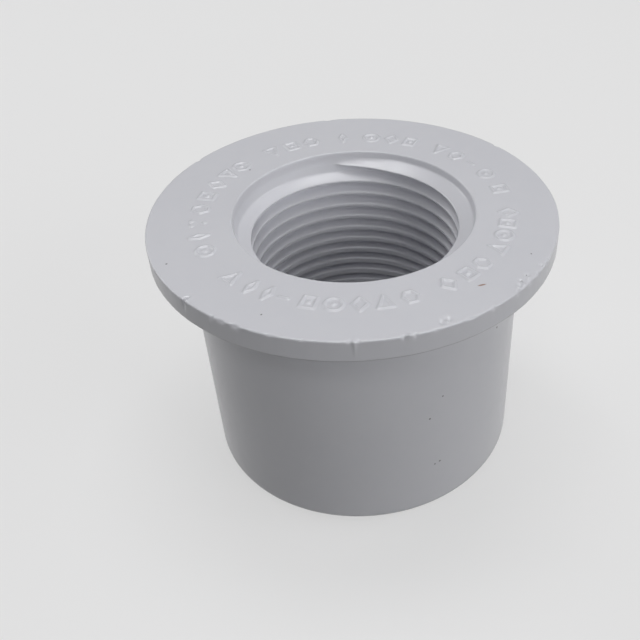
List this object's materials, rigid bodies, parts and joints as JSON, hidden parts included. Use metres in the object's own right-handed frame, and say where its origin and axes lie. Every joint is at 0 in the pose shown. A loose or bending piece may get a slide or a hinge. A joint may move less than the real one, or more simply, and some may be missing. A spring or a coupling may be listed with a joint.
{
  "type": "reducing bushing",
  "caption": "Flanged plastic pipe reducing bushing: a plain solvent-weld spigot outside, a female taper thread inside, moulded in one piece.",
  "frame": {"origin": "centre of the spigot's end face, on which the fitting stands", "axes": "+Z along the bore, from the spigot's end up to the flange's face; the thread's crest starts 15 degrees anticlockwise from +Y, seen from above"},
  "size_m": [0.0586, 0.0586, 0.0397],
  "materials": {
    "white_pvc": "satin moulded PVC, slightly mottled"
  },
  "bodies": {
    "root": {"bushing_body": "white_pvc"}
  },
  "joints": []
}
